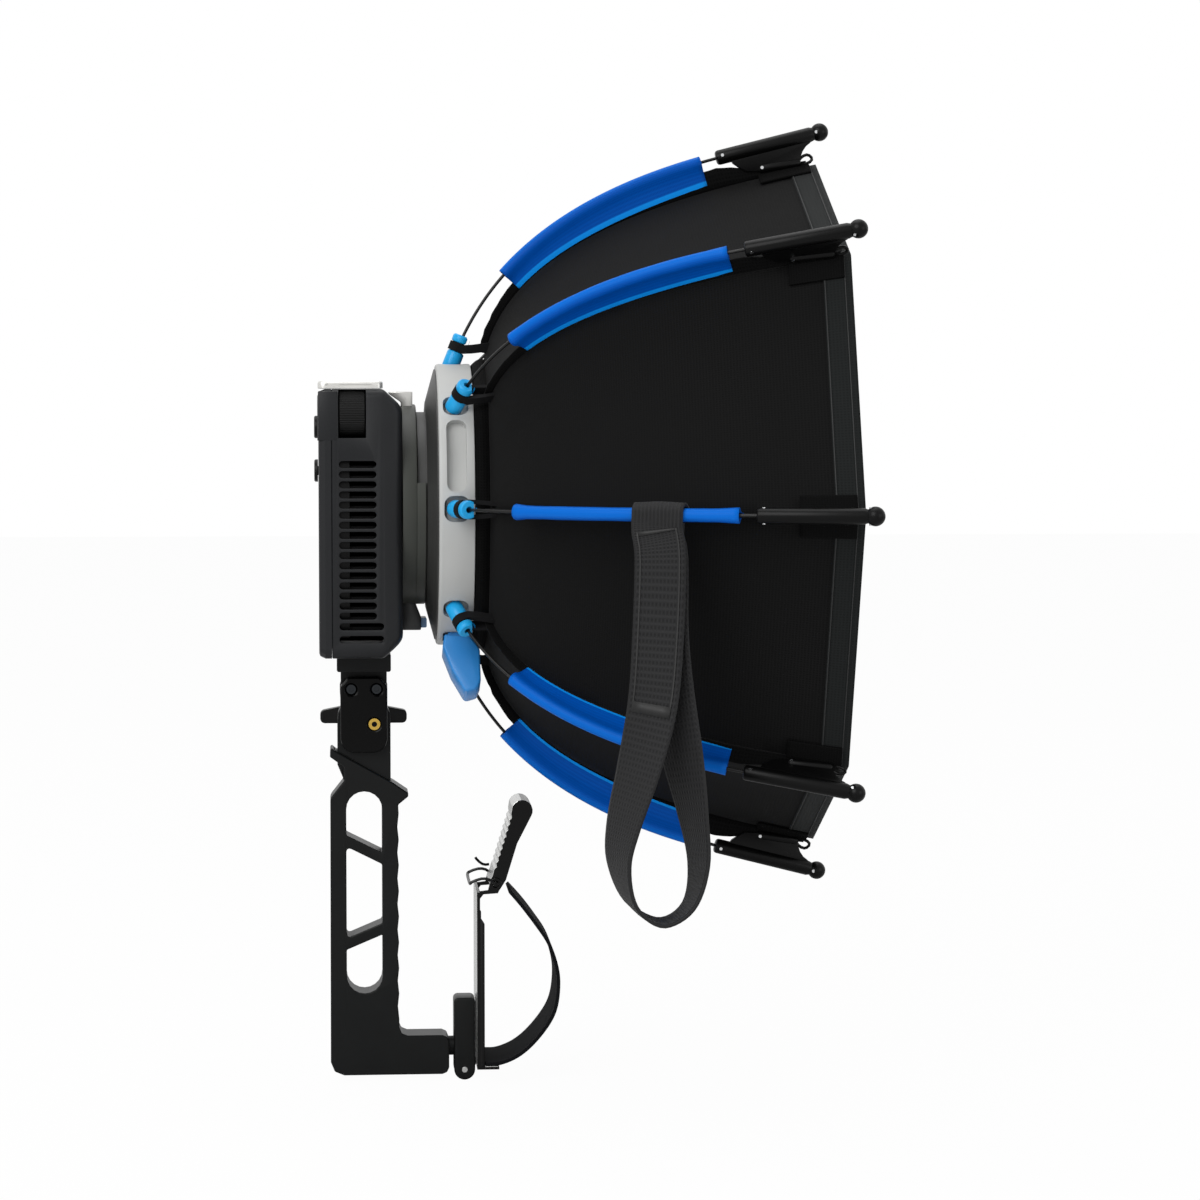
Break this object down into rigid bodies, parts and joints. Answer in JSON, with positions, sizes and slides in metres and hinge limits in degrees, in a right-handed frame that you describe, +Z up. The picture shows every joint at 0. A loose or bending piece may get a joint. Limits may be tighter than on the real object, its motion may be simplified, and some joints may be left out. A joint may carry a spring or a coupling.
{
  "type": "hand-held video light with octagonal dome softbox",
  "caption": "Hand-held LED video light: windowed grip with tilt head, slotted lamp body, dome softbox on spring ribs with rim levers, and a strap clamp on the foot.",
  "frame": {"origin": "middle of the grip, where the hand closes, on the mid-plane", "axes": "+X the way the lamp shines, +Z up along the grip, -Y the side that the picture shows"},
  "size_m": [0.2297, 0.3392, 0.427],
  "materials": {
    "black_anodised_metal": "black anodised, satin",
    "black_moulding": "satin",
    "steel_screw": "bright",
    "brass_thread": "bright",
    "charcoal_housing": "matt charcoal",
    "silver_plate": "satin silver",
    "black_rubber": "matt",
    "bare_aluminium": "bare",
    "led_phosphor": "matt",
    "grey_mount_metal": "grey anodised, satin",
    "blue_grey_tab": "matt",
    "light_grey_hub": "satin light grey",
    "blue_moulding": "semi-gloss blue",
    "black_spring_wire": "black coated",
    "blue_sleeve_fabric": "woven, slight sheen",
    "black_dome_fabric": "matt woven",
    "white_diffuser_fabric": "matt, translucent",
    "black_webbing": "ribbed webbing"
  },
  "bodies": {
    "grip": {"grip_frame": "black_anodised_metal"},
    "wing": {"wing_knob": "black_moulding"},
    "lamp": {"tilt_bracket": "black_anodised_metal", "tilt_cheek": "black_anodised_metal", "cheek_screw_front": "steel_screw", "cheek_screw_rear": "steel_screw", "brass_insert": "brass_thread", "front_shell": "charcoal_housing", "rear_cover": "charcoal_housing", "top_plate": "silver_plate", "heat_sink": "bare_aluminium", "led_board": "led_phosphor", "mount_ring": "grey_mount_metal"},
    "dial": {"control_dial": "black_rubber"},
    "upper_knob": {"rear_knob_upper": "black_moulding"},
    "lower_knob": {"rear_knob_lower": "black_moulding"},
    "fan": {"fan_rotor": "black_moulding"},
    "tab": {"lock_tab": "blue_grey_tab"},
    "softbox": {"hub_ring": "light_grey_hub", "dome_fabric": "black_dome_fabric", "front_diffuser": "white_diffuser_fabric", "pull_strap": "black_webbing", "peg_1": "blue_moulding", "peg_2": "blue_moulding", "peg_3": "blue_moulding", "peg_4": "blue_moulding", "peg_5": "blue_moulding", "peg_6": "blue_moulding", "peg_7": "blue_moulding", "peg_8": "blue_moulding", "rod_1": "black_spring_wire", "rod_2": "black_spring_wire", "rod_3": "black_spring_wire", "rod_4": "black_spring_wire", "rod_5": "black_spring_wire", "rod_6": "black_spring_wire", "rod_7": "black_spring_wire", "rod_8": "black_spring_wire", "sleeve_1": "blue_sleeve_fabric", "sleeve_2": "blue_sleeve_fabric", "sleeve_3": "blue_sleeve_fabric", "sleeve_4": "blue_sleeve_fabric", "sleeve_5": "blue_sleeve_fabric", "sleeve_6": "blue_sleeve_fabric", "sleeve_7": "blue_sleeve_fabric", "sleeve_8": "blue_sleeve_fabric"},
    "paddle": {"release_paddle": "blue_moulding"},
    "lever_1": {"rim_lever_1": "black_moulding"},
    "lever_2": {"rim_lever_2": "black_moulding"},
    "lever_3": {"rim_lever_3": "black_moulding"},
    "lever_4": {"rim_lever_4": "black_moulding"},
    "lever_5": {"rim_lever_5": "black_moulding"},
    "lever_6": {"rim_lever_6": "black_moulding"},
    "lever_7": {"rim_lever_7": "black_moulding"},
    "lever_8": {"rim_lever_8": "black_moulding"},
    "swivel": {"clamp_block": "black_anodised_metal"},
    "clamp": {"clamp_plate": "black_anodised_metal", "clamp_belt": "black_rubber"},
    "latch": {"clamp_lever": "black_moulding"},
    "bail": {"wire_bail": "black_spring_wire"}
  },
  "joints": [
    {"name": "tilt", "type": "hinge", "parent": "grip", "child": "lamp", "pos_m": [0, 0, 0.084], "axis": [0, 1, 0], "range_deg": [-90, 6]},
    {"name": "wing_turn", "type": "hinge", "parent": "grip", "child": "wing", "pos_m": [0, 0, 0.084], "axis": [0, 1, 0], "continuous": true},
    {"name": "dial_turn", "type": "hinge", "parent": "lamp", "child": "dial", "pos_m": [-0.0038, -0.0358, 0.2202], "axis": [1, 0, 0], "continuous": true},
    {"name": "upper_knob_turn", "type": "hinge", "parent": "lamp", "child": "upper_knob", "pos_m": [-0.021, -0.024, 0.214], "axis": [1, 0, 0], "continuous": true},
    {"name": "lower_knob_turn", "type": "hinge", "parent": "lamp", "child": "lower_knob", "pos_m": [-0.021, -0.024, 0.195], "axis": [1, 0, 0], "continuous": true},
    {"name": "fan_spin", "type": "hinge", "parent": "lamp", "child": "fan", "pos_m": [-0.015, 0, 0.165], "axis": [1, 0, 0], "continuous": true},
    {"name": "tab_press", "type": "slide", "parent": "lamp", "child": "tab", "axis": [-1, 0, 0], "range_m": [0, 0.002], "stiffness_N_per_m": 600},
    {"name": "softbox_twist", "type": "hinge", "parent": "lamp", "child": "softbox", "pos_m": [0.0236, 0, 0.1793], "axis": [1, 0, 0], "range_deg": [0, 20]},
    {"name": "paddle_pull", "type": "hinge", "parent": "softbox", "child": "paddle", "pos_m": [0.0395, -0.02334, 0.12294], "axis": [0, 0.9239, -0.3827], "range_deg": [0, 10], "stiffness_Nm_per_rad": 0.6},
    {"name": "lever_1_flip", "type": "hinge", "parent": "softbox", "child": "lever_1", "pos_m": [0.16, 0, 0.3337], "axis": [0, -1, 0], "range_deg": [0, 70]},
    {"name": "lever_2_flip", "type": "hinge", "parent": "softbox", "child": "lever_2", "pos_m": [0.16, -0.10918, 0.28848], "axis": [0, -0.7071, -0.7071], "range_deg": [0, 70]},
    {"name": "lever_3_flip", "type": "hinge", "parent": "softbox", "child": "lever_3", "pos_m": [0.16, -0.1544, 0.1793], "axis": [0, 0, -1], "range_deg": [0, 70]},
    {"name": "lever_4_flip", "type": "hinge", "parent": "softbox", "child": "lever_4", "pos_m": [0.16, -0.10918, 0.07012], "axis": [0, 0.7071, -0.7071], "range_deg": [0, 70]},
    {"name": "lever_5_flip", "type": "hinge", "parent": "softbox", "child": "lever_5", "pos_m": [0.16, 0, 0.0249], "axis": [0, 1, 0], "range_deg": [0, 70]},
    {"name": "lever_6_flip", "type": "hinge", "parent": "softbox", "child": "lever_6", "pos_m": [0.16, 0.10918, 0.07012], "axis": [0, 0.7071, 0.7071], "range_deg": [0, 70]},
    {"name": "lever_7_flip", "type": "hinge", "parent": "softbox", "child": "lever_7", "pos_m": [0.16, 0.1544, 0.1793], "axis": [0, 0, 1], "range_deg": [0, 70]},
    {"name": "lever_8_flip", "type": "hinge", "parent": "softbox", "child": "lever_8", "pos_m": [0.16, 0.10918, 0.28848], "axis": [0, -0.7071, 0.7071], "range_deg": [0, 70]},
    {"name": "clamp_swivel", "type": "hinge", "parent": "grip", "child": "swivel", "pos_m": [0.0385, 0, -0.0636], "axis": [1, 0, 0], "continuous": true},
    {"name": "plate_fold", "type": "hinge", "parent": "swivel", "child": "clamp", "pos_m": [0.0444, 0, -0.0734], "axis": [0, 1, 0], "range_deg": [0, 80]},
    {"name": "latch_pull", "type": "hinge", "parent": "clamp", "child": "latch", "pos_m": [0.0581, 0, 0.011], "axis": [0, 1, 0], "range_deg": [0, 55]},
    {"name": "bail_swing", "type": "hinge", "parent": "clamp", "child": "bail", "pos_m": [0.0581, 0, 0.011], "axis": [0, 1, 0], "range_deg": [-10, 40]}
  ]
}
